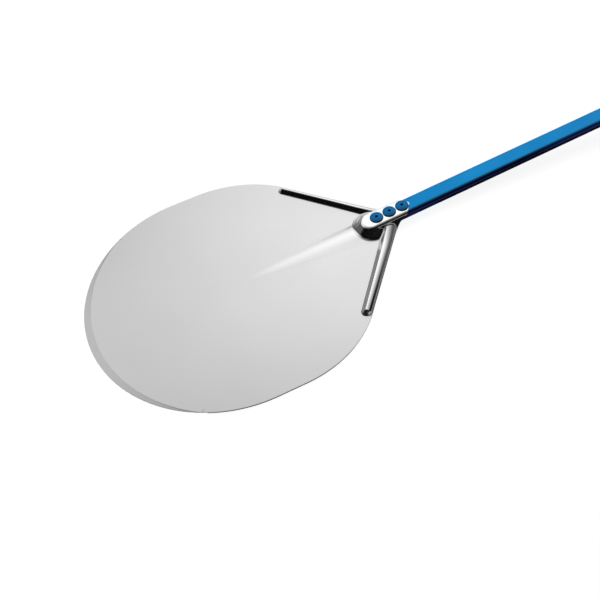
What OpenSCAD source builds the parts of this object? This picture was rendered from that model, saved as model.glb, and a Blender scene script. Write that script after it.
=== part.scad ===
// Pizza peel: a stamped sheet head riveted over the end of a flat-oval tube handle.
// X runs from the head to the handle, Z is up, and the underside of the head lies on Z = 0.
// The origin is the centre of the round front.

/* [Head] */
// Width across the head
head_w = 330; // [240:1:500]
// Length of the straight sides behind the round front
side_len = 35; // [5:1:90]
// Radius from the straight sides into the shoulders
corner_r = 146; // [60:1:160]
// Angle of the shoulders to the handle
shoulder_angle = 48; // [38:1:58]
// Thickness of the sheet
sheet_t = 2; // [1.2:0.1:3]

/* [Front bevel] */
// Width of the ground bevel at the front tip
bevel_w = 9; // [5:0.5:14]
// Thickness left at the front tip
edge_t = 0.8; // [0.3:0.1:1]
// Distance of the bevel's centre behind the centre of the round front
bevel_shift = 18; // [16:1:40]

/* [Beads and rib] */
// Height of each shoulder bead above the sheet
bead_h = 6; // [4:0.1:7]
// Slope of a bead's inner flank and of its outer end
bead_slope = 53; // [44:1:60]
// Distance of a bead's crest from the shoulder's edge
bead_inset = 8.6; // [7:0.2:12]
// Height of the shoulder's edge beside a bead above the flat of the sheet
edge_lift = 0.5; // [0.3:0.1:1]
// How far a bead runs past the start of the straight shoulder
bead_lead = 2.4; // [0:0.2:8]
// Length over which a bead climbs to the neck
bead_ramp = 26; // [20:1:36]
// How far a bead's climbing end stays below the top of the neck
bead_drop = 1; // [0.5:0.1:2]
// Radius of a bead's climbing end
ramp_r = 8; // [6:0.1:9]
// Width of the centre rib where it meets the neck
rib_w = 30; // [16:1:40]
// Height of the centre rib where it meets the neck
rib_h = 1.8; // [1:0.1:3]
// Length of the centre rib from the neck to its tip
rib_len = 132; // [60:1:180]

/* [Neck] */
// Distance from the tube's front end to the point where the shoulder lines meet
neck_setback = 46; // [40:1:56]
// Distance of the nose's centre behind the tube's front end
nose_offset = 2; // [1.5:0.5:6]
// Slope of the nose's wall
nose_wall_angle = 45; // [42:1:52]
// Slope of the neck's walls beside the tube
neck_wall_angle = 70; // [62:1:74]
// Outer radius along the edges of the flat top
neck_edge_r = 5; // [4:0.2:6]
// How far the neck's sides stand out beyond the tube
neck_side = 1; // [0.6:0.1:2]
// Radius in plan from the shoulders into the neck
neck_fillet_r = 20; // [10:1:21]
// Length of the neck's pointed end behind the last rivet's flange
neck_tail = 1; // [0.5:0.1:6]
// Half angle of the neck's pointed end
tail_angle = 52; // [46:1:62]
// Radius at the corners of the pointed end
tail_corner_r = 8; // [5:0.5:9]
// Radius at the tip of the pointed end
tail_tip_r = 4; // [2:0.5:5]

/* [Handle] */
// Length of the handle tube
handle_len = 600; // [400:10:1200]
// Width of the tube
tube_w = 26; // [22:0.5:34]
// Height of the tube
tube_h = 12; // [10.5:0.5:16]
// Wall of the tube
tube_wall = 1.5; // [1:0.1:2]
// Upward slope of the handle from the plane of the head
handle_tilt = 2.8; // [0:0.1:5]

/* [Rivets] */
// Distance of the first rivet from the tube's front end
rivet_edge = 11; // [10:0.5:16]
// Distance between rivets
rivet_pitch = 18; // [17.5:0.5:26]
// Diameter of a rivet's shank
rivet_d = 6.4; // [5:0.1:7]
// Diameter of a rivet's flange
flange_d = 17; // [12:0.5:17]
// Height of a rivet's domed flange
flange_h = 2.4; // [1.8:0.1:3]
// Thickness of the flange at its rim
flange_rim = 1.2; // [0.6:0.1:1.4]
// Diameter of the upset tail inside the tube
tail_d = 10; // [8.5:0.1:12]
// Length of the upset tail inside the tube
tail_len = 4; // [3:0.1:4.5]
// Diameter of the mandrel's stem
mandrel_d = 3.7; // [2.6:0.1:4]
// Diameter of the mandrel's head
mandrel_head_d = 6; // [5:0.1:8]
// Height of the mandrel's head
mandrel_head_h = 1.8; // [1:0.1:2]
// Depth of the broken stem below the top of the flange
break_depth = 1.1; // [0.6:0.1:1.8]

/* [End cap] */
// Length of the cap beyond the tube
cap_len = 36; // [30:1:60]
// How far the cap stands proud of the tube all round
cap_lip = 1; // [0.5:0.1:2]
// Length of the plug inside the tube
plug_len = 30; // [15:1:60]
// Diameter of the hanging hole
hang_d = 10; // [6:0.5:11]
// Chamfer at the mouths of the hanging hole
hang_chamfer = 1; // [0.5:0.1:1.5]

/* [Clearances] */
// Gap around a rivet's shank in its holes
rivet_gap = 0.1; // [0.05:0.05:0.3]
// Gap around the mandrel's stem in the rivet
stem_gap = 0.05; // [0.02:0.01:0.1]
// Gap between the neck's walls and the tube's round sides
neck_gap = 0.2; // [0.1:0.05:0.5]
// Gap between the plug and the inside of the tube
plug_gap = 0.1; // [0.05:0.05:0.3]

/* [Hidden] */
$fn = 96;

// Spare length by which a cutting shape passes the face it cuts
past = 1;

// Hair by which a rounding circle crosses the straight lines that it joins
cross = 0.02;

// Plan of the head: corner centre, end of the corner arc, and meeting point of the shoulder lines
head_r = head_w / 2;
corner_x = side_len;
corner_y = head_r - corner_r;
shoulder_x = corner_x + corner_r * sin(shoulder_angle);
shoulder_y = corner_y + corner_r * cos(shoulder_angle);
apex_x = shoulder_x + shoulder_y / tan(shoulder_angle);

// Flat of the tube, the neck over it, and the rivet row, all along the tube from its front end
tube_flat = tube_w - tube_h;
tube_x = apex_x - neck_setback;
neck_half = tube_w / 2 + neck_side;
top_half = tube_flat / 2 + neck_gap / sin(neck_wall_angle)
           + (tube_h / 2 - neck_edge_r + sheet_t) * tan(neck_wall_angle / 2);
rivet_s = [for (i = [0:2]) rivet_edge + i * rivet_pitch];
neck_len = rivet_s[2] + flange_d / 2 + neck_tail;
neck_end_x = tube_x + neck_len * cos(handle_tilt);
neck_top = tube_h + sheet_t;

// Depth to which the neck's walls run below the tube, so that they always reach the sheet
wall_depth = neck_len * sin(handle_tilt) + 2 * sheet_t;

// Fillet in plan between a shoulder and the side of the neck
fillet_run = neck_fillet_r * tan(shoulder_angle / 2);
fillet_corner_x = apex_x - neck_half / tan(shoulder_angle);
fillet_start_x = fillet_corner_x - fillet_run * cos(shoulder_angle);
fillet_start_y = neck_half + fillet_run * sin(shoulder_angle);
fillet_x = fillet_corner_x + fillet_run;
fillet_y = neck_half + neck_fillet_r;

// Pointed end of the neck in plan: where its straight lines would meet, and its corners
tail_point_x = neck_end_x + tail_tip_r / sin(tail_angle) - tail_tip_r;
tail_tip_run = tail_tip_r / tan(tail_angle);
tail_corner_x = tail_point_x - neck_half / tan(tail_angle);
tail_corner_run = tail_corner_r * tan(tail_angle / 2);

// A bead's crest, the radius of its round back, its outer end, and its climb to the neck
bead_top = sheet_t + bead_h;
bead_fall = bead_h - edge_lift;
bead_back_r = (bead_inset * bead_inset + bead_fall * bead_fall) / (2 * bead_fall);
bead_x = shoulder_x - bead_inset * sin(shoulder_angle) - bead_lead * cos(shoulder_angle);
bead_y = shoulder_y - bead_inset * cos(shoulder_angle) + bead_lead * sin(shoulder_angle);
bead_len = (bead_y - top_half) / sin(shoulder_angle);
bead_climb = neck_top - bead_drop - bead_top;

// Height by which the planes of a bead's flank and end pass over its crest, to cut the round back cleanly
bead_peak = 0.6;

// Length by which a bead's climbing end starts ahead of its climb, below the crest
ramp_lead = 16;

// The rib's large radius, its slope, and its tip ahead of the nose
rib_r = (rib_w * rib_w / 4 + rib_h * rib_h) / (2 * rib_h);
rib_slope = atan(rib_h / rib_len);
nose_base_r = wall_reach(nose_wall_angle, neck_edge_r, neck_top, sheet_t);
rib_tip_x = tube_x + nose_offset - nose_base_r - rib_len;

// Height of the formed head, used for trimming it to its plan
form_h = neck_top + neck_len * sin(handle_tilt) + past;

// Seats of a rivet along its own axis: on the neck, under the tube's upper wall, and at its tail
flange_seat = neck_top;
tail_seat = tube_h - tube_wall;
tail_end = tail_seat - tail_len;

// Distance from the neck's middle to a wall of this slope at height n, for an edge radius r below top
function wall_reach(slope, r, top, n) =
    top_half + r * sin(slope) + (top - r + r * cos(slope) - n) / tan(slope);

// Places its children on the tube's front end, along the sloping handle
module along_handle() {
    translate([tube_x, 0, 0])
        rotate([0, -handle_tilt, 0])
            children();
}

// Extrudes an upright section along the handle
module run_along(length) {
    rotate([90, 0, 90])
        linear_extrude(height = length)
            children();
}

// Flat-oval section standing on its lower flat
module flat_oval(w, h, base) {
    flat = w - h;
    translate([-flat / 2, base])
        square([flat, h]);
    for (side = [-1, 1])
        translate([side * flat / 2, base + h / 2])
            circle(d = h);
}

// One half of the shoulders: the corner arc and the wedge behind it
module shoulder_half() {
    intersection() {
        translate([corner_x, corner_y])
            circle(r = corner_r, $fn = 192);
        polygon([[corner_x - past, corner_y],
                 [corner_x, corner_y],
                 [corner_x + 2 * corner_r * tan(shoulder_angle), corner_y + 2 * corner_r],
                 [corner_x - past, corner_y + 2 * corner_r]]);
    }
    polygon([[corner_x - past, -head_r], [corner_x - past, corner_y + past],
             [corner_x + past * tan(shoulder_angle), corner_y + past], [shoulder_x, shoulder_y],
             [apex_x, 0], [apex_x, -head_r]]);
}

// Concave corner between a shoulder and the side of the neck
module neck_fillet() {
    difference() {
        polygon([[fillet_start_x, fillet_start_y], [fillet_start_x, -past], [fillet_x, -past],
                 [fillet_x, fillet_y]]);
        translate([fillet_x, fillet_y])
            circle(r = neck_fillet_r + cross);
    }
}

// Plan of the neck over the tube, with a round-cornered pointed end
module neck_plan() {
    half = [[tube_x, neck_half],
            [tail_corner_x - tail_corner_run, neck_half],
            [tail_corner_x + tail_corner_run * cos(tail_angle),
             neck_half - tail_corner_run * sin(tail_angle)],
            [tail_point_x - tail_tip_run * cos(tail_angle), tail_tip_run * sin(tail_angle)]];
    polygon(concat(half, [for (i = [len(half) - 1:-1:0]) [half[i][0], -half[i][1]]]));
    for (side = [-1, 1])
        translate([tail_corner_x - tail_corner_run, side * (neck_half - tail_corner_r)])
            circle(r = tail_corner_r + cross);
    translate([neck_end_x - tail_tip_r, 0])
        circle(r = tail_tip_r + cross);
}

// Plan of the whole head, from the round front to the rear end of the neck
module head_plan() {
    intersection() {
        circle(r = head_r, $fn = 192);
        translate([-head_r, -head_r])
            square([head_r + past, head_w]);
    }
    translate([0, -head_r])
        square([side_len, head_w]);
    for (side = [0, 1])
        mirror([0, side]) {
            intersection() {
                shoulder_half();
                translate([0, -past])
                    square([apex_x, head_r + past]);
            }
            neck_fillet();
        }
    neck_plan();
}

// Half section of the neck: flat top, rounded edge and sloping wall
module neck_half_section(slope, r, top, low) {
    polygon([[0, low],
             [wall_reach(slope, r, top, low), low],
             [top_half + r * sin(slope), top - r + r * cos(slope)],
             [top_half, top - r],
             [top_half, top],
             [0, top]]);
    intersection() {
        translate([top_half, top - r])
            circle(r = r);
        translate([top_half, top - r])
            square([r, r]);
    }
}

// Solid under the neck's surface: a conical nose and a straight saddle behind it
module neck_form(r, top, low, tail) {
    translate([nose_offset, 0, 0])
        rotate_extrude()
            neck_half_section(nose_wall_angle, r, top, low);
    translate([nose_offset, 0, 0])
        run_along(neck_len - nose_offset + tail)
            for (side = [0, 1])
                mirror([side, 0])
                    neck_half_section(neck_wall_angle, r, top, low);
}

// Places its children on the outer end of a bead's crest, along the shoulder
module along_shoulder() {
    translate([bead_x, bead_y, 0])
        rotate([0, 0, -shoulder_angle])
            children();
}

// Section of a bead up to this length: a slope that would meet the crest's plane at peak
module bead_slope_section(length, peak, low) {
    polygon([[(low - peak) / tan(bead_slope), low],
             [past / tan(bead_slope), peak + past],
             [length, peak + past],
             [length, low]]);
}

// Solid under a bead, less a wall: sloping inner flank and outer end, round back that falls to the edge
module bead_form(wall, low) {
    peak = bead_top + bead_peak - wall / cos(bead_slope);
    along_shoulder()
        intersection() {
            translate([-bead_len / 2, 0, bead_top - bead_back_r])
                rotate([0, 90, 0])
                    cylinder(r = bead_back_r - wall, h = 1.5 * bead_len, $fn = 192);
            translate([-bead_len / 2, 0, 0])
                run_along(1.5 * bead_len)
                    bead_slope_section(bead_back_r, peak, low);
            translate([0, bead_back_r, 0])
                rotate([90, 0, 0])
                    linear_extrude(height = 3 * bead_back_r)
                        bead_slope_section(bead_len, peak, low);
        }
}

// The round inner end of a bead, which climbs the side of the neck
module ramp_form(r) {
    along_shoulder()
        translate([bead_len - bead_ramp, 0, bead_top - ramp_r])
            rotate([0, 90 - atan(bead_climb / bead_ramp), 0])
                translate([0, 0, -ramp_lead])
                    cylinder(r = r, h = norm([bead_ramp, bead_climb]) + ramp_lead);
}

// The centre rib as the top of a large sloping cylinder
module rib_form(r) {
    translate([rib_tip_x, 0, sheet_t])
        rotate([0, -rib_slope, 0])
            translate([0, 0, -rib_r])
                rotate([0, 90, 0])
                    cylinder(r = r, h = rib_len + nose_base_r, $fn = 192);
}

// Cutter for the ground bevel round the front edge
module front_bevel() {
    inner_r = head_r + bevel_shift - bevel_w;
    fall = (sheet_t - edge_t) / bevel_w;
    reach = bevel_w + past;
    translate([bevel_shift, 0, 0])
        rotate([0, 0, 90])
            rotate_extrude(angle = 180, $fn = 192)
                polygon([[inner_r, sheet_t],
                         [inner_r + reach, sheet_t - fall * reach],
                         [inner_r + reach, sheet_t + past],
                         [inner_r, sheet_t + past]]);
}

// Holes for the rivets' shanks between two heights over the tube's underside
module rivet_holes(from, to) {
    for (s = rivet_s)
        translate([s, 0, from])
            cylinder(d = rivet_d + 2 * rivet_gap, h = to - from);
}

// The head before its underside is hollowed
module head_form() {
    linear_extrude(height = sheet_t)
        head_plan();
    intersection() {
        linear_extrude(height = form_h)
            head_plan();
        union() {
            along_handle()
                neck_form(neck_edge_r, neck_top, -wall_depth, past);
            for (side = [0, 1])
                mirror([0, side, 0]) {
                    bead_form(0, sheet_t / 2);
                    ramp_form(ramp_r);
                }
        }
    }
    intersection() {
        translate([rib_tip_x, -head_r, 0])
            cube([rib_len + nose_base_r, head_w, sheet_t + 2 * rib_h]);
        rib_form(rib_r);
    }
}

module blade() {
    color("gainsboro")
        difference() {
            head_form();
            along_handle()
                neck_form(neck_edge_r - sheet_t, tube_h, -wall_depth - past, 2 * past);
            for (side = [0, 1])
                mirror([0, side, 0]) {
                    bead_form(sheet_t, -past);
                    ramp_form(ramp_r - sheet_t);
                }
            rib_form(rib_r - sheet_t);
            front_bevel();
            along_handle()
                rivet_holes(tube_h - past, neck_top + past);
        }
}

module handle_tube() {
    color("steelblue")
        along_handle()
            difference() {
                run_along(handle_len)
                    difference() {
                        flat_oval(tube_w, tube_h, 0);
                        flat_oval(tube_w - 2 * tube_wall, tube_h - 2 * tube_wall, tube_wall);
                    }
                rivet_holes(tube_h / 2, tube_h + past);
            }
}

// Half section of a set blind rivet: domed flange, shank and upset tail round the mandrel
module rivet_section() {
    bore_r = mandrel_d / 2 + stem_gap;
    dome_h = flange_h - flange_rim;
    dome_r = (flange_d * flange_d / 4 + dome_h * dome_h) / (2 * dome_h);
    flange_top = flange_seat + flange_h;
    intersection() {
        translate([0, flange_top - dome_r])
            circle(r = dome_r, $fn = 192);
        polygon([[bore_r, tail_end],
                 [rivet_d / 2, tail_end],
                 [tail_d / 2, tail_seat - tail_len / 2],
                 [tail_d / 2, tail_seat],
                 [rivet_d / 2, tail_seat],
                 [rivet_d / 2, flange_seat],
                 [flange_d / 2, flange_seat],
                 [flange_d / 2, flange_top],
                 [bore_r, flange_top]]);
    }
}

module rivet(i) {
    color("royalblue")
        along_handle()
            translate([rivet_s[i], 0, 0])
                rotate_extrude()
                    rivet_section();
}

module mandrel(i) {
    color("dimgray")
        along_handle()
            translate([rivet_s[i], 0, 0]) {
                translate([0, 0, tail_end])
                    cylinder(d = mandrel_d, h = flange_seat + flange_h - break_depth - tail_end);
                translate([0, 0, tail_end - mandrel_head_h])
                    cylinder(d1 = mandrel_d, d2 = mandrel_head_d, h = mandrel_head_h);
            }
}

module rivet_front() { rivet(0); }
module rivet_middle() { rivet(1); }
module rivet_rear() { rivet(2); }
module mandrel_front() { mandrel(0); }
module mandrel_middle() { mandrel(1); }
module mandrel_rear() { mandrel(2); }

// Plan of the cap beyond the tube, with a round far end
module cap_plan(w) {
    translate([0, -w / 2])
        square([cap_len - w / 2, w]);
    translate([cap_len - w / 2, 0])
        circle(d = w);
}

// The hanging hole through the cap, chamfered at both mouths
module hanging_hole(h) {
    cylinder(d = hang_d, h = h);
    cylinder(d1 = hang_d + 2 * hang_chamfer, d2 = hang_d, h = hang_chamfer);
    translate([0, 0, h - hang_chamfer])
        cylinder(d1 = hang_d, d2 = hang_d + 2 * hang_chamfer, h = hang_chamfer);
}

module end_cap() {
    cap_w = tube_w + 2 * cap_lip;
    cap_h = tube_h + 2 * cap_lip;
    plug_w = tube_w - 2 * tube_wall - 2 * plug_gap;
    plug_h = tube_h - 2 * tube_wall - 2 * plug_gap;
    color("darkslategray")
        along_handle() {
            translate([handle_len - plug_len, 0, 0])
                run_along(plug_len)
                    flat_oval(plug_w, plug_h, tube_wall + plug_gap);
            translate([handle_len, 0, 0])
                difference() {
                    intersection() {
                        run_along(cap_len)
                            flat_oval(cap_w, cap_h, -cap_lip);
                        translate([0, 0, -cap_lip])
                            linear_extrude(height = cap_h)
                                cap_plan(cap_w);
                    }
                    translate([cap_len - cap_w / 2, 0, -cap_lip])
                        hanging_hole(cap_h);
                }
        }
}

blade();
handle_tube();
rivet_front();
rivet_middle();
rivet_rear();
mandrel_front();
mandrel_middle();
mandrel_rear();
end_cap();
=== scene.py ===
"""Looks of a pizza peel: a pressed aluminium head riveted on a blue flat-oval handle.

Lengths are millimetres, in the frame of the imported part, and become metres where a mesh is made.
"""

import math

import bmesh
import bpy
import numpy as np
from mathutils import Matrix, Vector
from mathutils.geometry import delaunay_2d_cdt


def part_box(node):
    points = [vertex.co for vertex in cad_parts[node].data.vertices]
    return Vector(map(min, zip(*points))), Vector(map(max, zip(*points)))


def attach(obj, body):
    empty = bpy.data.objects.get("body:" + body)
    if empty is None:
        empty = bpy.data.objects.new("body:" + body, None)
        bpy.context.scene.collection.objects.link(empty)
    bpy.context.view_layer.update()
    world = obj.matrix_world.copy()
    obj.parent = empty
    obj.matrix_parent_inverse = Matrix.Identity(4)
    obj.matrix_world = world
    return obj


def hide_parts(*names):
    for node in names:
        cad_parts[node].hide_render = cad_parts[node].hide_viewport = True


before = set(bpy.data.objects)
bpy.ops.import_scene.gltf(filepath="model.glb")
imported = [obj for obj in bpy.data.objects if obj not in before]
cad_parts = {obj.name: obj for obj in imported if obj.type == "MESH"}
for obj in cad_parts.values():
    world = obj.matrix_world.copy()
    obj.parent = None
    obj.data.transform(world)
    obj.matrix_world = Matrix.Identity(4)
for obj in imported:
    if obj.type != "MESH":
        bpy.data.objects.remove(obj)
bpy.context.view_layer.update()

MM = 0.001

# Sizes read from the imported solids
HEAD_LOW, HEAD_HIGH = (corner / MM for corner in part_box("blade"))
HEAD_R = HEAD_HIGH.y
NECK_END_X = HEAD_HIGH.x

# Head: plan and sheet
SIDE_LEN = 35
CORNER_R = 146
SHOULDER = math.radians(48)
SHEET_T = 2
EDGE_ROUND = 0.5

# Ground bevel round the front
BEVEL_CENTRE_X = 18
BEVEL_W = 9
BEVEL_INNER_R = HEAD_R + BEVEL_CENTRE_X - BEVEL_W
BEVEL_END_X = (HEAD_R ** 2 + BEVEL_CENTRE_X ** 2 - BEVEL_INNER_R ** 2) / (2 * BEVEL_CENTRE_X)
BEVEL_EDGE_T = 0.8
BEVEL_STEP_W = 1.0
BEVEL_STEP_H = 0.16

# Pressed beads and centre rib
BEAD_H = 6
BEAD_SLOPE = math.radians(53)
BEAD_CREST = 0.8
BEAD_INSET = 8.6
EDGE_LIFT = -0.5
BEAD_LEAD = 2.4
BEAD_RAMP = 40
BEAD_DROP = 2.4
BEAD_BLEND = 0.7
BEAD_WIDEN = 3
BEAD_SOFT = 2
RIB_W = 30
RIB_H = 1.8
RIB_LEN = 150
RIB_BLEND = 0.6
RIB_FADE = 1.5

# Neck over the end of the tube
NECK_SETBACK = 46
NOSE_OFFSET = 2
NOSE_WALL = math.radians(45)
NECK_WALL = math.radians(70)
NECK_EDGE_R = 5
NECK_TOP_HALF = 9.31
NECK_HALF = 15.4
NECK_FILLET_R = 20
NECK_BLEND = 1.8
JOIN_BLEND = 3
TAIL_ANGLE = math.radians(52)
TAIL_CORNER_R = 8
TAIL_TIP_R = 4

# Handle
TILT = math.radians(2.8)
TUBE_W = 26
TUBE_H = 12
TUBE_WALL = 1.5
TUBE_LEN = 600

# Rivets, measured along their axes from the underside of the tube
RIVET_PLACES = (11, 29, 47)
RIVET_NAMES = ("front", "middle", "rear")
RIVET_D = 6.4
RIVET_GAP = 0.1
FLANGE_D = 17
FLANGE_H = 2.4
FLANGE_RIM = 1.2
FLANGE_ROUND = 1.2
BORE_LIP = 0.15
TAIL_D = 10
TAIL_LEN = 4
MANDREL_D = 3.7
MANDREL_HEAD_D = 6
MANDREL_HEAD_H = 1.8
BREAK_DEPTH = 1.1
STEM_GAP = 0.05

# End cap
CAP_LEN = 36
CAP_LIP = 1
PLUG_LEN = 30
PLUG_GAP = 0.1
HANG_D = 10
HANG_CHAMFER = 1

# Places worked out from the sizes
SHOULDER_X = SIDE_LEN + CORNER_R * math.sin(SHOULDER)
SHOULDER_Y = HEAD_R - CORNER_R + CORNER_R * math.cos(SHOULDER)
APEX_X = SHOULDER_X + SHOULDER_Y / math.tan(SHOULDER)
TUBE_X = APEX_X - NECK_SETBACK
NECK_TOP = TUBE_H + SHEET_T
NOSE_BASE = (NECK_TOP_HALF + NECK_EDGE_R * math.sin(NOSE_WALL)
             + (NECK_TOP - NECK_EDGE_R * (1 - math.cos(NOSE_WALL)) - SHEET_T) / math.tan(NOSE_WALL))
BEAD_TOP = SHEET_T + BEAD_H
BEAD_REACH = BEAD_INSET - EDGE_ROUND
BEAD_BACK_R = (BEAD_REACH ** 2 + (BEAD_H - EDGE_LIFT) ** 2) / (2 * (BEAD_H - EDGE_LIFT))
BEAD_START = np.array((SHOULDER_X - BEAD_INSET * math.sin(SHOULDER) - BEAD_LEAD * math.cos(SHOULDER),
                       SHOULDER_Y - BEAD_INSET * math.cos(SHOULDER) + BEAD_LEAD * math.sin(SHOULDER)))
BEAD_AIM = np.array((math.cos(SHOULDER), -math.sin(SHOULDER)))
BEAD_OUT = np.array((math.sin(SHOULDER), math.cos(SHOULDER)))
BEAD_LEN = (BEAD_START[1] - NECK_TOP_HALF) / math.sin(SHOULDER)
BEAD_CLIMB = NECK_TOP - BEAD_DROP - BEAD_TOP
RIB_R = (RIB_W ** 2 / 4 + RIB_H ** 2) / (2 * RIB_H)
RIB_TIP_X = TUBE_X + NOSE_OFFSET - NOSE_BASE - RIB_LEN


def along_handle(points):
    """Points given along the tube, across it and above its underside, in the part's frame."""
    s, y, n = np.asarray(points, float).T
    return np.column_stack((TUBE_X + s * math.cos(TILT) - n * math.sin(TILT), y,
                            s * math.sin(TILT) + n * math.cos(TILT)))


# Surface of the pressed head

def smooth_max(a, b, blend):
    """The larger of two heights, with a rounded inner corner where they cross."""
    near = np.maximum(blend - np.abs(a - b), 0)
    return np.maximum(a, b) + near ** 2 / (4 * blend)


def round_fall(side, radius, steep):
    """Fall from the top of a round back, carried on as a straight slope where it gets steep."""
    turn = radius * math.sin(steep)
    return (radius - np.sqrt(radius ** 2 - np.minimum(side, turn) ** 2)
            + np.maximum(side - turn, 0) * math.tan(steep))


def bead_place(x, y):
    """Distance along the nearer bead's crest, and outward from it, in plan."""
    rel = np.column_stack((x - BEAD_START[0], np.abs(y) - BEAD_START[1]))
    return rel @ BEAD_AIM, rel @ BEAD_OUT


def bead_height(x, y):
    """A bead: sloping flank and end, round back to the edge, wider and higher towards the neck."""
    run, side = bead_place(x, y)
    along = np.clip(run / BEAD_LEN, 0, 1)
    widen = along * BEAD_WIDEN
    crest = BEAD_CREST + along ** 4 * BEAD_SOFT
    side = side + widen
    climb = np.clip((run - BEAD_LEN + BEAD_RAMP) / BEAD_RAMP, 0, 1) ** 2 * BEAD_CLIMB
    ahead = np.hypot(np.minimum(run, 0), np.minimum(side, 0))
    flank = np.hypot(ahead * math.tan(BEAD_SLOPE), crest) - crest
    fall = round_fall(np.maximum(side, 0) * BEAD_REACH / (BEAD_REACH + widen), BEAD_BACK_R, math.radians(78))
    return BEAD_TOP + climb - flank - fall * (1 + climb / (BEAD_H - EDGE_LIFT))


def rib_height(x, y):
    """The low rib that rises from its tip towards the neck, with a crisp far foot and a soft near flank."""
    rise = np.maximum(x - RIB_TIP_X, 0.01) * RIB_H / RIB_LEN
    reach = np.minimum(np.abs(y) / (RIB_FADE * np.sqrt(2 * RIB_R * rise)), 1)
    near = rise * (1 + np.cos(math.pi * reach)) / 2
    far = smooth_max(rise - y ** 2 / (2 * RIB_R), 0, np.minimum(rise, RIB_BLEND))
    return SHEET_T + np.where(y < 0, near, far)


def neck_section(reach, slope):
    """Height of the neck above the tube's underside: flat top, round edge, sloping wall."""
    side = np.clip(reach - NECK_TOP_HALF, 0, None)
    turn = NECK_EDGE_R * math.sin(slope)
    edge = NECK_TOP - NECK_EDGE_R + np.sqrt(NECK_EDGE_R ** 2 - np.minimum(side, turn) ** 2)
    return edge - np.maximum(side - turn, 0) * math.tan(slope)


def neck_surface(s, y):
    """Conical nose and straight saddle, above the tube's underside."""
    ahead = s - NOSE_OFFSET
    nose = neck_section(np.hypot(ahead, y), NOSE_WALL)
    saddle = neck_section(np.hypot(np.minimum(ahead, 0), y), NECK_WALL)
    return np.maximum(nose, saddle)


def neck_height(x, y):
    """The neck follows the slope of the handle."""
    rel = x - TUBE_X
    n = np.full_like(rel, NECK_TOP)
    for _ in range(4):
        s = rel / math.cos(TILT) + n * math.tan(TILT)
        n = neck_surface(s, y)
    return rel * math.tan(TILT) + n / math.cos(TILT)


def formed_top(x, y):
    """Upper surface of the pressed sheet before its front is ground."""
    bead, neck = bead_height(x, y), neck_height(x, y)
    plateau = (x - TUBE_X) * math.tan(TILT) + NECK_TOP / math.cos(TILT)
    join = JOIN_BLEND * np.clip((plateau - neck) / 4, 0.01, 1)
    share = np.clip((neck - bead) / JOIN_BLEND + 0.5, 0, 1)
    foot = BEAD_BLEND + (NECK_BLEND - BEAD_BLEND) * share
    return smooth_max(rib_height(x, y), smooth_max(bead, neck, join), foot)


def ground_top(x, y):
    """Upper surface of the head, with the ground front bevel."""
    past = np.where(x < 0, np.hypot(x - BEVEL_CENTRE_X, y) - BEVEL_INNER_R, 0)
    step = np.clip(past / BEVEL_STEP_W, 0, 1) * BEVEL_STEP_H * np.clip((BEVEL_END_X - x) / 20, 0, 1)
    fall = (SHEET_T - BEVEL_STEP_H - BEVEL_EDGE_T) / BEVEL_W
    return formed_top(x, y) - step - np.maximum(past, 0) * fall


def surface_normals(height, x, y):
    """Unit normals of a surface that is given by its height over the plan."""
    step = 0.02
    slope_x = (height(x + step, y) - height(x - step, y)) / (2 * step)
    slope_y = (height(x, y + step) - height(x, y - step)) / (2 * step)
    normals = np.column_stack((-slope_x, -slope_y, np.ones_like(x)))
    return normals / np.linalg.norm(normals, axis=1, keepdims=True)


# Plan of the head

def arc(centre, radius, start, end, step):
    """Points on an arc from one angle to another, in degrees, without the last point."""
    turn = math.radians(end - start)
    count = max(2, round(abs(turn) * radius / step))
    angles = math.radians(start) + turn * np.arange(count) / count
    return np.column_stack((centre[0] + radius * np.cos(angles), centre[1] + radius * np.sin(angles)))


def line(start, end, step):
    """Points on a straight line, without the last point."""
    start, end = np.array(start, float), np.array(end, float)
    count = max(1, round(np.linalg.norm(end - start) / step))
    return start + (end - start) * (np.arange(count) / count)[:, None]


def head_outline():
    """The head's edge, anticlockwise from the front tip."""
    angle = math.degrees(SHOULDER)
    run = NECK_FILLET_R * math.tan(SHOULDER / 2)
    corner_x = APEX_X - NECK_HALF / math.tan(SHOULDER)
    fillet_start = (corner_x - run * math.cos(SHOULDER), -NECK_HALF - run * math.sin(SHOULDER))
    fillet_centre = (corner_x + run, -NECK_HALF - NECK_FILLET_R)
    tail = math.degrees(TAIL_ANGLE)
    point_x = NECK_END_X + TAIL_TIP_R / math.sin(TAIL_ANGLE) - TAIL_TIP_R
    tail_run = TAIL_CORNER_R * math.tan(TAIL_ANGLE / 2)
    tail_x = point_x - NECK_HALF / math.tan(TAIL_ANGLE)
    tip_run = TAIL_TIP_R / math.tan(TAIL_ANGLE)
    lower = np.vstack((
        arc((0, 0), HEAD_R, 180, 270, 2.5),
        line((0, -HEAD_R), (SIDE_LEN, -HEAD_R), 2.5),
        arc((SIDE_LEN, CORNER_R - HEAD_R), CORNER_R, 270, 270 + angle, 2.5),
        line((SHOULDER_X, -SHOULDER_Y), fillet_start, 1.5),
        arc(fillet_centre, NECK_FILLET_R, 90 + angle, 90, 1.0),
        line((corner_x + run, -NECK_HALF), (tail_x - tail_run, -NECK_HALF), 1.0),
        arc((tail_x - tail_run, TAIL_CORNER_R - NECK_HALF), TAIL_CORNER_R, -90, tail - 90, 0.8),
        line((tail_x + tail_run * math.cos(TAIL_ANGLE), tail_run * math.sin(TAIL_ANGLE) - NECK_HALF),
             (point_x - tip_run * math.cos(TAIL_ANGLE), -tip_run * math.sin(TAIL_ANGLE)), 1.0),
        arc((NECK_END_X - TAIL_TIP_R, 0), TAIL_TIP_R, tail - 90, 0, 0.8),
        np.array([(NECK_END_X, 0)]),
    ))
    upper = lower[-2:0:-1] * (1, -1)
    return np.vstack((lower, upper))


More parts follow.
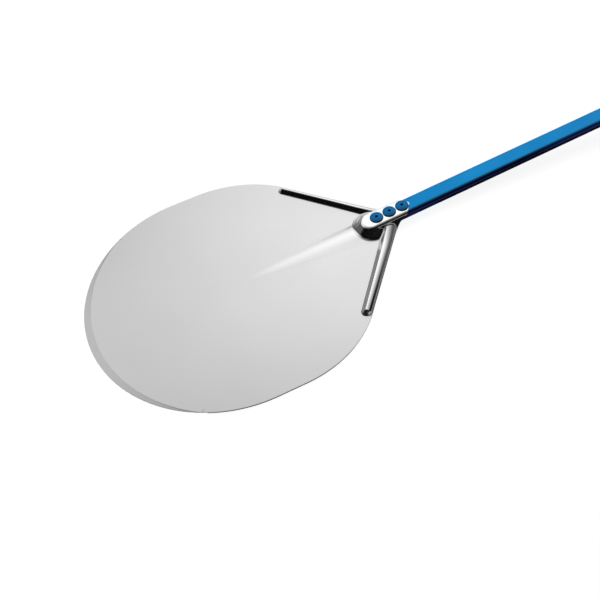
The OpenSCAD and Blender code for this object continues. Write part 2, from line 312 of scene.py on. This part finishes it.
def outward(loop):
    """Unit directions out of an anticlockwise closed outline."""
    along = np.roll(loop, -1, axis=0) - np.roll(loop, 1, axis=0)
    out = np.column_stack((along[:, 1], -along[:, 0]))
    return out / np.linalg.norm(out, axis=1, keepdims=True)


def nearest(points, others):
    """Distance from each point to the nearest of the others."""
    best = np.full(len(points), np.inf)
    for other in others:
        best = np.minimum(best, np.hypot(points[:, 0] - other[0], points[:, 1] - other[1]))
    return best


def inside(points, loop):
    """True for each point inside a closed outline."""
    hit = np.zeros(len(points), bool)
    for a, b in zip(loop, np.roll(loop, -1, axis=0)):
        crosses = (a[1] > points[:, 1]) != (b[1] > points[:, 1])
        rise = b[1] - a[1] if b[1] != a[1] else 1
        hit ^= crosses & (points[:, 0] < a[0] + (points[:, 1] - a[1]) / rise * (b[0] - a[0]))
    return hit


def lattice(step):
    """A triangular lattice over the whole head, the same on both sides of its middle."""
    row_step = step * math.sqrt(3) / 2
    rows = math.ceil(HEAD_R / row_step)
    points = []
    for row in range(-rows, rows + 1):
        xs = np.arange(-HEAD_R, NECK_END_X, step) + (abs(row) % 2) * step / 2
        points.append(np.column_stack((xs, np.full_like(xs, row * row_step))))
    return np.vstack(points)


def sheet_points(loop):
    """Points inside the head: fine on the pressed forms, wider apart on the flat."""
    zones = ((0.9, -99, 0), (4.0, 0, 14), (10.0, 14, 999))
    chosen = []
    for step, low, high in zones:
        points = lattice(step)
        x, y = points.T
        ahead = np.minimum(x - TUBE_X - NOSE_OFFSET, 0)
        run, side = bead_place(x, y)
        bead = np.maximum(-side, -run) - 9
        form = np.minimum(bead, np.hypot(ahead, y) - NOSE_BASE - 6)
        rib = np.where(x > 20, np.abs(y) - 26, 99)
        reach = np.where(form > 0, np.minimum(form, np.maximum(rib, 0.1)), form)
        points = points[(reach > low) & (reach <= high)]
        points = points[inside(points, loop)]
        chosen.append(points[nearest(points, loop) > min(0.7 * step, 2)])
    for radius in (-0.15, 0.15, BEVEL_STEP_W - 0.15, BEVEL_STEP_W + 0.15):
        ring = arc((BEVEL_CENTRE_X, 0), BEVEL_INNER_R + radius, 110, 250, 2)
        ring = ring[inside(ring, loop)]
        chosen.append(ring[nearest(ring, loop) > 0.5])
    return np.vstack(chosen)


# Mesh helpers

def make_object(name, verts, faces, material, slot, *nodes):
    """A piece of the part, made from millimetres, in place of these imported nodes."""
    mesh = bpy.data.meshes.new(name)
    mesh.from_pydata([tuple(v) for v in np.asarray(verts) * MM], [], [tuple(f) for f in faces])
    mesh.shade_smooth()
    mesh.materials.append(material)
    piece = bpy.data.objects.new(name, mesh)
    bpy.context.scene.collection.objects.link(piece)
    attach(piece, "root")
    if nodes:
        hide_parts(*nodes)
    return piece


def bridge(first, second):
    """Quads between two closed rings of vertex numbers."""
    count = len(first)
    return [(first[i], first[(i + 1) % count], second[(i + 1) % count], second[i])
            for i in range(count)]


def head_sheet(material):
    """The pressed head: upper and lower surfaces, round edge and rivet holes in one closed mesh."""
    edge = head_outline()
    out = outward(edge)
    loop = edge - EDGE_ROUND * out
    hole_x = [along_handle([(s, 0, NECK_TOP)])[0][0] for s in RIVET_PLACES]
    hole_r = RIVET_D / 2 + RIVET_GAP
    holes = [arc((x, 0), hole_r, 0, 360, 0.6) for x in hole_x]
    inner = sheet_points(loop)
    for x in hole_x:
        inner = inner[np.hypot(inner[:, 0] - x, inner[:, 1]) > hole_r + 0.4]
    loops = [loop, *holes]
    starts = np.cumsum([0] + [len(ring) for ring in loops])
    edges = [(start + i, start + (i + 1) % len(ring))
             for start, ring in zip(starts, loops) for i in range(len(ring))]
    given = [Vector(p) for p in np.vstack((*loops, inner))]
    plan, _, faces, source, _, _ = delaunay_2d_cdt(given, edges, [], 0, 1e-5)
    place = {old: new for new, olds in enumerate(source) for old in olds}
    rings = [[place[start + i] for i in range(len(ring))] for start, ring in zip(starts, loops)]

    x, y = np.array(plan).T
    middles = np.array([np.mean([plan[i] for i in face], axis=0) for face in faces])
    kept = inside(middles, loop)
    for hx in hole_x:
        kept &= np.hypot(middles[:, 0] - hx, middles[:, 1]) > hole_r * 0.99
    faces = [list(face) for face, keep in zip(faces, kept) if keep]

    form_z = formed_top(x, y)
    form_n = surface_normals(formed_top, x, y)
    top_n = surface_normals(ground_top, x, y)
    top = np.column_stack((x, y, ground_top(x, y)))
    low = np.column_stack((x, y, form_z)) - SHEET_T * form_n
    count = len(plan)
    verts = [*top, *low]
    corner_normals = [top_n[i] for face in faces for i in face]
    low_faces = [[i + count for i in reversed(face)] for face in faces]
    corner_normals += [-form_n[i - count] for face in low_faces for i in face]
    all_faces = faces + low_faces

    ring = np.array(rings[0])
    up = (top[ring] - low[ring]) / 2
    middle = (top[ring] + low[ring]) / 2
    up_unit = up / np.linalg.norm(up, axis=1, keepdims=True)
    out3 = np.column_stack((out, np.zeros(len(out))))
    out3 -= np.sum(out3 * up_unit, axis=1, keepdims=True) * up_unit
    out3 /= np.linalg.norm(out3, axis=1, keepdims=True)
    half_t = np.linalg.norm(up, axis=1, keepdims=True)
    bands = [list(ring)]
    band_normals = [top_n[ring]]
    turns = np.linspace(0, math.pi, 9)
    for turn in turns[1:-1]:
        start = len(verts)
        verts.extend(middle + up * math.cos(turn) + out3 * EDGE_ROUND * math.sin(turn))
        bands.append(list(range(start, start + len(ring))))
        normal = up_unit * math.cos(turn) / half_t + out3 * math.sin(turn) / EDGE_ROUND
        band_normals.append(normal / np.linalg.norm(normal, axis=1, keepdims=True))
    bands.append(list(ring + count))
    band_normals.append(-form_n[ring])
    for k in range(len(bands) - 1):
        for i in range(len(ring)):
            j = (i + 1) % len(ring)
            all_faces.append([bands[k + 1][i], bands[k + 1][j], bands[k][j], bands[k][i]])
            corner_normals += [band_normals[k + 1][i], band_normals[k + 1][j],
                               band_normals[k][j], band_normals[k][i]]

    for hx, ring in zip(hole_x, rings[1:]):
        for quad in bridge(ring, [i + count for i in ring]):
            all_faces.append(quad)
            for i in quad:
                inward = np.array((hx - x[i % count], -y[i % count], 0))
                corner_normals.append(inward / np.linalg.norm(inward))

    sheet = make_object("head_sheet", verts, all_faces, material, "sheet_aluminium", "blade")
    sheet.data.normals_split_custom_set([tuple(n) for n in corner_normals])
    return sheet


def lathe(name, profile, place, material, slot, node, steps=72):
    """A turned piece on a rivet's axis, from a closed outline of radius and height."""
    profile = np.asarray(profile, float)
    verts = []
    for turn in np.arange(steps) * 2 * math.pi / steps:
        verts.append(np.column_stack((place + profile[:, 0] * math.cos(turn),
                                      profile[:, 0] * math.sin(turn), profile[:, 1])))
    count = len(profile)
    faces = []
    for k in range(steps):
        here, there = k * count, (k + 1) % steps * count
        for i in range(count):
            j = (i + 1) % count
            faces.append((here + i, here + j, there + j, there + i))
    piece = make_object(name, along_handle(np.vstack(verts)), faces, material, slot, node)
    weld(piece)
    return piece


def weld(piece, sharp=math.radians(38)):
    """Joins vertices that lie on each other, makes all faces look out, keeps hard edges hard."""
    mesh = bmesh.new()
    mesh.from_mesh(piece.data)
    bmesh.ops.remove_doubles(mesh, verts=mesh.verts, dist=1e-3 * MM)
    bmesh.ops.dissolve_degenerate(mesh, edges=mesh.edges, dist=1e-3 * MM)
    bmesh.ops.recalc_face_normals(mesh, faces=mesh.faces)
    mesh.to_mesh(piece.data)
    mesh.free()
    piece.data.shade_smooth()
    piece.data.set_sharp_from_angle(angle=sharp)


def quarter(centre, radius, start, end, steps=5):
    """Points of a rounded corner in a turned outline."""
    angles = np.radians(np.linspace(start, end, steps))
    return [(centre[0] + radius * math.cos(a), centre[1] + radius * math.sin(a)) for a in angles]


def rivet_profile():
    """Set blind rivet: domed flange with a rolled rim, shank and upset tail."""
    bore = MANDREL_D / 2 + STEM_GAP
    rim_r = FLANGE_D / 2
    seat = NECK_TOP
    dome_h = FLANGE_H - FLANGE_RIM
    dome_r = (rim_r ** 2 + dome_h ** 2) / (2 * dome_h)
    tail_seat = TUBE_H - TUBE_WALL
    tail_end = tail_seat - TAIL_LEN
    dome = [(r, seat + FLANGE_H - dome_r + math.sqrt(dome_r ** 2 - r ** 2))
            for r in np.linspace(bore + BORE_LIP, rim_r - FLANGE_ROUND, 10)]
    lip = quarter((bore + BORE_LIP, dome[0][1] - BORE_LIP), BORE_LIP, 180, 90)
    rim = quarter((rim_r - FLANGE_ROUND, dome[-1][1] - FLANGE_ROUND), FLANGE_ROUND, 85, 0)
    foot = quarter((rim_r - 0.15, seat + 0.15), 0.15, 0, -90, 3)
    bulb = quarter((TAIL_D / 2 - 0.8, tail_seat - 0.8), 0.8, 90, 0)
    return [(bore, tail_end), *lip, *dome[1:], *rim, *foot, (RIVET_D / 2, seat), (RIVET_D / 2, tail_seat),
            *bulb, (TAIL_D / 2, tail_seat - TAIL_LEN / 2), (RIVET_D / 2, tail_end)]


def mandrel_profile():
    """Mandrel left in a set rivet: broken stem above, head below."""
    tail_end = TUBE_H - TUBE_WALL - TAIL_LEN
    stem = MANDREL_D / 2
    top = NECK_TOP + FLANGE_H - BREAK_DEPTH
    broken = [(0, top - 0.35), (0.5, top - 0.1), (0.95, top), (1.3, top - 0.12), (stem - 0.2, top - 0.45),
              (stem, top - 1.0)]
    return [(0, tail_end - MANDREL_HEAD_H), *broken, (stem, tail_end), (MANDREL_HEAD_D / 2, tail_end),
            (MANDREL_HEAD_D / 2, tail_end - 0.3), (stem, tail_end - MANDREL_HEAD_H)]


def oval_ring(s, w, h, middle):
    """One section of the cap: a flat oval across the handle, from the top centre round to it."""
    r = h / 2
    flat = w / 2 - r
    half = [(0, r), *quarter((flat, 0), r, 90, -90, 17), (0, -r)]
    ring = half + [(-y, n) for y, n in reversed(half[1:-1])]
    return [(s, y, middle + n) for y, n in ring]


def end_cap(material):
    """Moulded cap: plug inside the tube, round-edged body, and the hanging hole."""
    middle = TUBE_H / 2
    cap_w, cap_h = TUBE_W + 2 * CAP_LIP, TUBE_H + 2 * CAP_LIP
    plug_w = TUBE_W - 2 * (TUBE_WALL + PLUG_GAP)
    plug_h = TUBE_H - 2 * (TUBE_WALL + PLUG_GAP)
    turn_s = TUBE_LEN + CAP_LEN - cap_w / 2
    lead, soft = 1.5, 0.6
    rings = [oval_ring(TUBE_LEN - PLUG_LEN, plug_w - 2 * lead, plug_h - 2 * lead, middle),
             oval_ring(TUBE_LEN - PLUG_LEN + 2 * lead, plug_w, plug_h, middle),
             oval_ring(TUBE_LEN, plug_w, plug_h, middle),
             oval_ring(TUBE_LEN, cap_w - 2 * soft, cap_h - 2 * soft, middle),
             oval_ring(TUBE_LEN + soft * 0.3, cap_w - 0.6 * soft, cap_h - 0.6 * soft, middle),
             oval_ring(TUBE_LEN + soft, cap_w, cap_h, middle),
             oval_ring(turn_s, cap_w, cap_h, middle)]
    verts = [p for ring in rings for p in ring]
    count = len(rings[0])
    faces = [tuple(range(count))]
    for k in range(len(rings) - 1):
        faces += bridge(range(k * count, (k + 1) * count), range((k + 1) * count, (k + 2) * count))
    right = rings[-1][:count // 2 + 1]
    start = len(verts)
    steps = 32
    for k in range(steps + 1):
        turn = math.pi * k / steps
        verts += [(turn_s + y * math.sin(turn), y * math.cos(turn), n) for _, y, n in right]
    span = len(right)
    for k in range(steps):
        for i in range(span - 1):
            a = start + k * span + i
            faces.append((a, a + 1, a + span + 1, a + span))
    cap = make_object("end_cap_moulding", along_handle(verts), faces, material, "cap_polymer", "end_cap")
    weld(cap)

    reach = cap_h / 2 + 1
    bore, mouth = HANG_D / 2, HANG_D / 2 + HANG_CHAMFER
    face = cap_h / 2
    profile = [(0, -reach), (mouth + 1, -reach), (mouth, -face), (bore, -face + HANG_CHAMFER),
               (bore, face - HANG_CHAMFER), (mouth, face), (mouth + 1, reach), (0, reach)]
    cutter = lathe("hole_cutter", [(r, middle + n) for r, n in profile], turn_s, material,
                   "cap_polymer", "end_cap")
    cut = cap.modifiers.new("hanging_hole", "BOOLEAN")
    cut.object = cutter
    cut.operation = "DIFFERENCE"
    bpy.context.view_layer.update()
    done = bpy.data.meshes.new_from_object(cap.evaluated_get(bpy.context.evaluated_depsgraph_get()))
    cap.modifiers.clear()
    cap.data = done
    bpy.data.objects.remove(cutter)
    weld(cap)
    return cap


# Materials

class Nodes:
    """Short calls for building a material's node tree."""

    def __init__(self, name):
        self.material = bpy.data.materials.new(name)
        self.material.use_nodes = True
        self.tree = self.material.node_tree
        self.shader = self.tree.nodes["Principled BSDF"]
        self.place = self.add("ShaderNodeTexCoord").outputs["Object"]

    def add(self, kind, **settings):
        node = self.tree.nodes.new(kind)
        for key, value in settings.items():
            setattr(node, key, value)
        return node

    def join(self, source, target):
        self.tree.links.new(source, target)

    def facing(self, axis, start, end):
        """From 0 to 1 as the surface turns to face along an axis, either way."""
        shape = self.add("ShaderNodeNewGeometry")
        axes = self.add("ShaderNodeSeparateXYZ")
        self.join(shape.outputs["Normal"], axes.inputs[0])
        return self.spread(self.math("ABSOLUTE", axes.outputs[axis]), 0, 1, start, end)

    def noise(self, scale, detail=4.0, stretch=(1, 1, 1), roughness=0.5):
        """Noise over the object, with its scale in cycles for each metre, stretched by axis."""
        mapping = self.add("ShaderNodeMapping")
        mapping.inputs["Scale"].default_value = stretch
        self.join(self.place, mapping.inputs["Vector"])
        node = self.add("ShaderNodeTexNoise")
        node.inputs["Scale"].default_value = scale
        node.inputs["Detail"].default_value = detail
        node.inputs["Roughness"].default_value = roughness
        self.join(mapping.outputs["Vector"], node.inputs["Vector"])
        return node.outputs["Fac"]

    def math(self, operation, a, b=0.0):
        node = self.add("ShaderNodeMath", operation=operation)
        for socket, value in zip(node.inputs, (a, b)):
            if isinstance(value, bpy.types.NodeSocket):
                self.join(value, socket)
            else:
                socket.default_value = value
        return node.outputs[0]

    def spread(self, value, low, high, start=0.3, end=0.7):
        """A value's middle range, spread from low to high."""
        node = self.add("ShaderNodeMapRange")
        for key, number in (("From Min", start), ("From Max", end), ("To Min", low), ("To Max", high)):
            node.inputs[key].default_value = number
        self.join(value, node.inputs["Value"])
        return node.outputs["Result"]

    def ramp(self, value, *stops):
        """A colour that follows a value through these positions and colours."""
        node = self.add("ShaderNodeValToRGB")
        elements = node.color_ramp.elements
        for i, (position, colour) in enumerate((stops[0], stops[-1])):
            elements[i].position = position
            elements[i].color = (*colour, 1)
        for position, colour in stops[1:-1]:
            elements.new(position).color = (*colour, 1)
        self.join(value, node.inputs["Fac"])
        return node.outputs["Color"]

    def mix(self, factor, a, b):
        node = self.add("ShaderNodeMix", data_type="RGBA")
        self.join(factor, node.inputs["Factor"])
        for socket, value in zip((node.inputs[6], node.inputs[7]), (a, b)):
            if isinstance(value, bpy.types.NodeSocket):
                self.join(value, socket)
            else:
                socket.default_value = (*value, 1)
        return node.outputs[2]

    def bump(self, height, strength, distance):
        node = self.add("ShaderNodeBump")
        node.inputs["Strength"].default_value = strength
        node.inputs["Distance"].default_value = distance * MM
        self.join(height, node.inputs["Height"])
        self.join(node.outputs["Normal"], self.shader.inputs["Normal"])

    def set(self, **values):
        """Constant values on the shader's own sockets."""
        for key, value in values.items():
            self.shader.inputs[key.replace("_", " ")].default_value = value


def sheet_material():
    """Satin sheet with rolled grain, ground at the front bevel, with a painted highlight on raised forms and painted
    shade on side walls.
    """
    m = Nodes("satin_sheet")
    m.set(Metallic=1.0)
    grain = m.noise(1, 5, stretch=(60, 1400, 1400))
    fleck = m.noise(900, 3)
    cloud = m.noise(11, 3)
    axes = m.add("ShaderNodeSeparateXYZ")
    m.join(m.place, axes.inputs[0])
    rel_x = m.math("SUBTRACT", axes.outputs["X"], BEVEL_CENTRE_X * MM)
    radius = m.math("SQRT", m.math("ADD", m.math("POWER", rel_x, 2.0), m.math("POWER", axes.outputs["Y"], 2.0)))
    ground = m.math("MULTIPLY", m.math("GREATER_THAN", radius, BEVEL_INNER_R * MM),
                    m.math("LESS_THAN", axes.outputs["X"], 0.0))
    raised = m.spread(axes.outputs["Z"], 0, 1, 2.1 * MM, 7 * MM)
    tone = m.math("ADD", m.math("MULTIPLY", cloud, 0.6), m.math("MULTIPLY", grain, 0.4))
    satin = m.ramp(tone, (0.3, (0.835, 0.837, 0.842)), (0.7, (0.88, 0.88, 0.885)))
    # Raised forms get a lighter colour by their height: a painted highlight.
    painted_highlight = m.ramp(tone, (0.3, (0.95, 0.95, 0.952)), (0.7, (0.98, 0.98, 0.98)))
    milled = m.ramp(tone, (0.3, (0.80, 0.80, 0.805)), (0.7, (0.85, 0.85, 0.85)))
    # Walls of the neck and beads that face sideways are coloured near black: painted shade.
    drawn = m.ramp(tone, (0.3, (0.022, 0.019, 0.015)), (0.7, (0.038, 0.034, 0.029)))
    pressed = m.mix(m.facing("Y", 0.72, 0.9), m.mix(raised, satin, painted_highlight), drawn)
    m.join(m.mix(ground, pressed, milled), m.shader.inputs["Base Color"])
    matt = m.math("ADD", m.math("MULTIPLY", grain, 0.5), m.math("MULTIPLY", fleck, 0.5))
    level = m.spread(axes.outputs["Z"], 0.17, 0.0, 2.02 * MM, 2.6 * MM)
    m.join(m.math("ADD", m.spread(matt, 0.13, 0.18), m.math("MAXIMUM", level, m.math("MULTIPLY", ground, 0.28))),
           m.shader.inputs["Roughness"])
    mill = m.math("SINE", m.math("MULTIPLY", radius, 2 * math.pi / (0.9 * MM)))
    relief = m.math("ADD", m.math("MULTIPLY", grain, 0.6), m.math("MULTIPLY", m.math("MULTIPLY", mill, ground), 0.2))
    m.bump(relief, 0.1, 0.02)
    return m.material


def blue_material(name, dark, light, rim, turn):
    """Blue anodised aluminium with fine drawn lines along the handle, with painted shade on the sides where it turns
    down.
    """
    m = Nodes(name)
    m.set(Metallic=1.0)
    drawn = m.noise(1, 5, stretch=(9, 1500, 1500))
    cloud = m.noise(24, 3)
    tone = m.math("ADD", m.math("MULTIPLY", drawn, 0.5), m.math("MULTIPLY", cloud, 0.5))
    # Where the surface turns away from up and down, it takes the dark rim colour: painted shade.
    m.join(m.mix(m.facing("Z", *turn), rim, m.ramp(tone, (0.3, dark), (0.7, light))),
           m.shader.inputs["Base Color"])
    m.join(m.spread(drawn, 0.24, 0.34), m.shader.inputs["Roughness"])
    m.bump(drawn, 0.15, 0.02)
    return m.material


def steel_material():
    """Torn steel of a broken mandrel, coloured near black: painted shade of the rivet's bore."""
    m = Nodes("mandrel_steel_painted_shade")
    m.set(Metallic=1.0)
    torn = m.noise(2200, 5)
    # Near-black colour for the stem: painted shade of the bore it sits in.
    m.join(m.ramp(torn, (0.3, (0.006, 0.014, 0.022)), (0.7, (0.03, 0.04, 0.05))), m.shader.inputs["Base Color"])
    m.join(m.spread(torn, 0.4, 0.6), m.shader.inputs["Roughness"])
    m.bump(torn, 0.4, 0.15)
    return m.material


def polymer_material():
    """Dark moulded polymer with a fine spark-eroded texture."""
    m = Nodes("moulded_polymer")
    m.set(Metallic=0.0)
    grain = m.noise(1500, 4)
    cloud = m.noise(40, 2)
    m.join(m.ramp(cloud, (0.3, (0.017, 0.018, 0.021)), (0.7, (0.026, 0.027, 0.031))),
           m.shader.inputs["Base Color"])
    m.join(m.spread(grain, 0.42, 0.58), m.shader.inputs["Roughness"])
    m.bump(grain, 0.25, 0.06)
    return m.material


# Studio

def flat_panel(name, size, location, aim, material):
    """A flat rectangle of the studio, facing a point, its width along X. All lengths here are metres."""
    w, h = size[0] / 2, size[1] / 2
    mesh = bpy.data.meshes.new(name)
    mesh.from_pydata([(-w, -h, 0), (w, -h, 0), (w, h, 0), (-w, h, 0)], [], [(0, 1, 2, 3)])
    mesh.materials.append(material)
    panel = bpy.data.objects.new(name, mesh)
    bpy.context.scene.collection.objects.link(panel)
    normal = (Vector(aim) - Vector(location)).normalized()
    across = (Vector((1, 0, 0)) - normal * normal.x).normalized()
    turn = Matrix((across, normal.cross(across), normal)).transposed()
    panel.matrix_world = Matrix.Translation(location) @ turn.to_4x4()
    return panel


def floor_material():
    """White floor that stays white in the picture and in reflections, and keeps the shadow."""
    m = Nodes("white_floor")
    tree = m.tree
    out = tree.nodes["Material Output"]
    tree.nodes.remove(m.shader)
    path = m.add("ShaderNodeLightPath")
    seen = m.math("MAXIMUM", path.outputs["Is Camera Ray"],
                  m.math("MAXIMUM", path.outputs["Is Glossy Ray"], path.outputs["Is Transmission Ray"]))
    glow = m.add("ShaderNodeEmission")
    m.join(m.math("MULTIPLY", seen, 0.86), glow.inputs["Strength"])
    diffuse = m.add("ShaderNodeBsdfDiffuse")
    diffuse.inputs["Color"].default_value = (0.5, 0.5, 0.5, 1)
    both = m.add("ShaderNodeAddShader")
    m.join(glow.outputs[0], both.inputs[0])
    m.join(diffuse.outputs[0], both.inputs[1])
    m.join(both.outputs[0], out.inputs["Surface"])
    return m.material


def light_material(name, across, along):
    """A panel of light. Its strength follows places in metres across it and along it, multiplied."""
    m = Nodes(name)
    out = m.tree.nodes["Material Output"]
    m.tree.nodes.remove(m.shader)
    glow = m.add("ShaderNodeEmission")
    axes = m.add("ShaderNodeSeparateXYZ")
    m.join(m.place, axes.inputs[0])
    for axis, stops, target in (("X", across, "Color"), ("Y", along, "Strength")):
        first, last = stops[0][0], stops[-1][0]
        place = m.spread(axes.outputs[axis], 0, 1, first, last)
        m.join(m.ramp(place, *(((x - first) / (last - first), (s, s, s)) for x, s in stops)),
               glow.inputs[target])
    m.join(glow.outputs[0], out.inputs["Surface"])
    return m.material


def card_material(name, tone):
    """Matt card."""
    m = Nodes(name)
    m.set(Base_Color=(tone, tone, tone, 1), Roughness=0.9, Specular_IOR_Level=0.0)
    return m.material


def studio():
    """Floor, overhead softbox, low backdrop, black cards and a dim room."""
    flat_panel("floor", (40, 40), (0, 0, -0.0002), (0, 0, 1), floor_material())
    overhead = light_material(
        "softbox", ((-2.2, 1.05), (-1.35, 0.95), (-0.85, 0.67), (-0.3, 0.96), (0.1, 1.12), (0.55, 1.15), (1.35, 0.9), (2.2, 0.7)),
        ((-1.75, 0.05), (-1.05, 0.18), (-0.55, 0.42), (-0.1, 0.89), (0.3, 1), (0.55, 1), (1.35, 0.75), (1.75, 0.6)))
    backdrop = light_material("backdrop", ((-3.2, 0.12), (-1.4, 0.15), (-0.9, 1.0), (3.2, 1.0)),
                              ((-0.7, 1.0), (0.7, 0.9)))
    front = light_material("front_wall", ((-5, 0.8), (5, 0.8)), ((-0.75, 1.0), (0.75, 1.0)))
    lights = (flat_panel("softbox", (4.4, 3.5), (0.65, 0.85, 1.5), (0.65, 0.85, 3), overhead),
              flat_panel("backdrop", (6.4, 1.4), (1.7, 3.0, 0.7), (1.7, 4.0, 0.7), backdrop),
              flat_panel("front_wall", (10, 1.5), (1.0, -3.0, 0.75), (1.0, -4.0, 0.75), front))
    for light in lights:
        light.visible_camera = False
    black = card_material("black_card", 0.003)
    grey = card_material("grey_card", 0.25)
    pale = card_material("pale_card", 0.6)
    cards = (flat_panel("card_side", (0.47, 0.56), (0.185, -0.45, 0.42), (0.185, 0, 0.0), black),
             flat_panel("card_nose", (0.3, 0.18), (0.40, -0.18, 0.146), (0.2, 0, 0.01), black),
             flat_panel("card_near", (0.7, 0.5), (-0.10, -0.50, 0.35), (0.20, 0, 0.0), black),
             flat_panel("card_front", (0.6, 0.5), (-0.45, -0.15, 0.35), (0.15, 0.05, 0.0), black),
             flat_panel("card_low", (0.16, 0.52), (0.22, -0.272, 0.0005), (0.22, -0.272, 1), pale),
             flat_panel("card_under", (0.76, 0.6), (0.68, -0.232, 0.0005), (0.68, -0.232, 1), grey))
    for card in cards:
        card.visible_camera = False
        card.visible_diffuse = False
        card.visible_shadow = False
    world = bpy.data.worlds.new("room")
    bpy.context.scene.world = world
    world.use_nodes = True
    world.node_tree.nodes["Background"].inputs["Color"].default_value = (0.1, 0.1, 0.1, 1)


def camera():
    """The photograph's view: place, axes and lens fitted to the object's edges."""
    data = bpy.data.cameras.new("camera")
    data.sensor_width = 36
    data.lens = 49.52
    data.clip_start, data.clip_end = 0.01, 100
    cam = bpy.data.objects.new("camera", data)
    bpy.context.scene.collection.objects.link(cam)
    right = Vector((0.89573, -0.43599, -0.08705))
    up = Vector((0.39512, 0.69088, 0.60545))
    turn = Matrix((right, up, right.cross(up))).transposed()
    cam.matrix_world = Matrix.Translation((-0.1200, -0.6174, 0.7680)) @ turn.to_4x4()
    bpy.context.scene.camera = cam


def dress():
    """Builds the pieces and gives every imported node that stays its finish."""
    head_sheet(sheet_material())
    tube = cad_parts["handle_tube"]
    tube.data.materials.clear()
    # The third colour of each blue finish is the painted shade on its sides.
    tube.data.materials.append(blue_material("blue_tube", (0.008, 0.21, 0.52), (0.013, 0.275, 0.63),
                                             (0.02, 0.03, 0.15), (0.75, 0.97)))
    rivet_blue = blue_material("blue_rivet", (0.008, 0.13, 0.33), (0.014, 0.18, 0.43),
                               (0.006, 0.022, 0.05), (0.4, 0.9))
    steel = steel_material()
    for name, place in zip(RIVET_NAMES, RIVET_PLACES):
        lathe(f"set_rivet_{name}", rivet_profile(), place, rivet_blue, "rivet_blue", f"rivet_{name}")
        lathe(f"broken_mandrel_{name}", mandrel_profile(), place, steel, "mandrel_steel", f"mandrel_{name}", 36)
    end_cap(polymer_material())


dress()
studio()
camera()
bpy.context.scene.view_settings.view_transform = "Standard"
